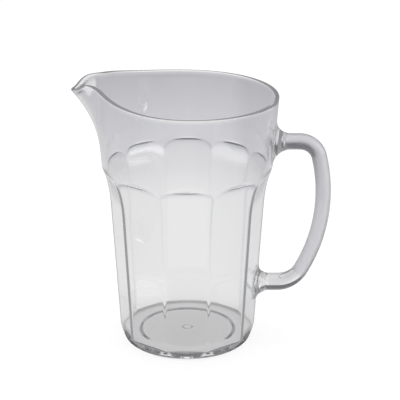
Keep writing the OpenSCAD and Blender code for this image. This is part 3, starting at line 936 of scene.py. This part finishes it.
def add_floor():
    """Pale table top, just under the foot. Plastic and gloss see it glow in painted studio tones, with a
    painted shadow round the foot, and the camera sees it white, with the jug's shadow."""
    mesh = bpy.data.meshes.new("floor")
    x, z = TABLE_HALF, -TABLE_DROP
    mesh.from_pydata([(-x, -x, z), (x, -x, z), (x, x, z), (-x, x, z)], [], [(0, 1, 2, 3)])
    floor = bpy.data.objects.new("floor", mesh)
    bpy.context.scene.collection.objects.link(floor)
    made = bpy.data.materials.new("table_top")
    made.use_nodes = True
    tree = made.node_tree
    tree.nodes.clear()
    link = tree.links.new
    out = node(tree, "ShaderNodeOutputMaterial", (600, 0))
    lit = node(tree, "ShaderNodeBsdfDiffuse", inputs={"Color": (TABLE_LIT, TABLE_LIT, TABLE_LIT, 1)})
    glow = node(tree, "ShaderNodeEmission", inputs={"Color": (1, 1, 1, 1), "Strength": TABLE_GLOW})
    seen = node(tree, "ShaderNodeAddShader")
    link(lit.outputs[0], seen.inputs[0])
    link(glow.outputs[0], seen.inputs[1])
    where = node(tree, "ShaderNodeTexCoord").outputs["Object"]
    path = node(tree, "ShaderNodeLightPath")
    tones = [greys(tree, mapped(tree, along(tree, where, direction), -1.0, 1.0), stops)
             for direction, stops in ((AWAY, FLOOR_STOPS), (view_axes()[0], SIDE_STOPS))]
    radius = node(tree, "ShaderNodeVectorMath", operation="LENGTH")
    link(where, radius.inputs[0])
    # Painted light and shade for plastic and gloss: the table's glow in the studio tones, times the
    # painted shadow round the foot
    own = node(tree, "ShaderNodeEmission")
    link(mixed_colour(tree, 1.0, *tones, blend="MULTIPLY"), own.inputs["Color"])
    link(foot_shade(tree, radius.outputs["Value"], path), own.inputs["Strength"])
    link(by_ray(tree, path, seen.outputs[0], own.outputs[0]), out.inputs[0])
    mesh.materials.append(made)


def add_world():
    """The camera sees white. Plastic and gloss see a studio: a dark backdrop and a dim room in front,
    both bright overhead, and two soft lamps at the sides. Everything else gets even light."""
    world = bpy.data.worlds.new("studio")
    bpy.context.scene.world = world
    world.use_nodes = True
    tree = world.node_tree
    tree.nodes.clear()
    link = tree.links.new
    out = node(tree, "ShaderNodeOutputWorld")
    where = node(tree, "ShaderNodeTexCoord").outputs["Generated"]
    split = node(tree, "ShaderNodeSeparateXYZ")
    link(where, split.inputs[0])
    rise = mapped(tree, maths(tree, "ARCSINE", split.outputs["Z"]), 0.0, math.pi / 2)
    front, back = (greys(tree, rise, stops) for stops in (FRONT_STOPS, BACK_STOPS))
    lit = mixed_colour(tree, mapped(tree, along(tree, where, AWAY), *BACK_EDGES), front, back)
    inner, outer = (math.cos(math.radians(a)) for a in (LAMP_INNER, LAMP_OUTER))
    for turn, light in SIDE_LAMPS:
        a, up = VIEW_SIDE + math.radians(turn), math.radians(LAMP_RISE)
        toward = (math.cos(a) * math.cos(up), math.sin(a) * math.cos(up), math.sin(up))
        more = node(tree, "ShaderNodeVectorMath", operation="ADD")
        link(lit, more.inputs[0])
        link(mapped(tree, along(tree, where, toward), outer, inner, light, "SMOOTHSTEP"), more.inputs[1])
        lit = more.outputs[0]
    studio = node(tree, "ShaderNodeBackground")
    link(lit, studio.inputs["Color"])
    even = node(tree, "ShaderNodeBackground", inputs={"Color": (EVEN_LIGHT, EVEN_LIGHT, EVEN_LIGHT, 1)})
    white = node(tree, "ShaderNodeBackground", inputs={"Color": (1, 1, 1, 1)})
    path = node(tree, "ShaderNodeLightPath")
    seen = mixed(tree, path.outputs["Is Camera Ray"], even.outputs[0], white.outputs[0])
    link(by_ray(tree, path, seen, studio.outputs[0]), out.inputs[0])


def add_lamp():
    """Soft square lamp above the table, which plastic and gloss don't see."""
    data = bpy.data.lights.new("soft_lamp", "AREA")
    data.shape, data.size, data.size_y = "RECTANGLE", LAMP_SIZE, LAMP_SIZE
    data.energy = LAMP_POWER
    made = bpy.data.objects.new("soft_lamp", data)
    made.location = LAMP_PLACE
    made.visible_glossy = made.visible_transmission = False
    bpy.context.scene.collection.objects.link(made)


class PITCHER_OT_stage(bpy.types.Operator):
    """Set the table top, the studio light and the photo's camera"""
    bl_idname = "pitcher.stage"
    bl_label = "Photo table"

    def execute(self, context):
        add_floor()
        add_world()
        add_lamp()
        add_camera()
        context.scene.view_settings.view_transform = "Standard"
        return {"FINISHED"}


class PitcherSettings(bpy.types.PropertyGroup):
    wall: PointerProperty(type=WallSizes)
    foot: PointerProperty(type=FootSizes)
    lip: PointerProperty(type=LipSizes)
    handle: PointerProperty(type=HandleSizes)
    finish: PointerProperty(type=Finishes)


class PITCHER_PT_panel(bpy.types.Panel):
    """Sizes, finishes and pieces of the pitcher"""
    bl_idname = "PITCHER_PT_panel"
    bl_label = "Pitcher"
    bl_space_type = "VIEW_3D"
    bl_region_type = "UI"
    bl_category = "Pitcher"

    def draw(self, context):
        s = context.scene.pitcher
        for title, group in (("Wall", s.wall), ("Foot", s.foot), ("Lip", s.lip), ("Handle", s.handle),
                             ("Finish", s.finish)):
            box = self.layout.box()
            box.label(text=title)
            for key in group.bl_rna.properties.keys():
                if key not in ("rna_type", "name"):
                    box.prop(group, key)
        for operator in OPERATORS:
            self.layout.operator(operator.bl_idname)


OPERATORS = (PITCHER_OT_jug_body, PITCHER_OT_handle, PITCHER_OT_stage)
CLASSES = (WallSizes, FootSizes, LipSizes, HandleSizes, Finishes, PitcherSettings,
           PITCHER_PT_panel) + OPERATORS


def register():
    """Register the classes and hang the settings on the scene."""
    for c in CLASSES:
        bpy.utils.register_class(c)
    bpy.types.Scene.pitcher = PointerProperty(type=PitcherSettings)


def unregister():
    """Take the settings and the classes away again."""
    del bpy.types.Scene.pitcher
    for c in reversed(CLASSES):
        bpy.utils.unregister_class(c)


def main():
    """Build the pieces and the stage."""
    register()
    bpy.ops.pitcher.jug_body()
    bpy.ops.pitcher.handle()
    bpy.ops.pitcher.stage()
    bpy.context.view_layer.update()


if __name__ == "__main__":
    main()
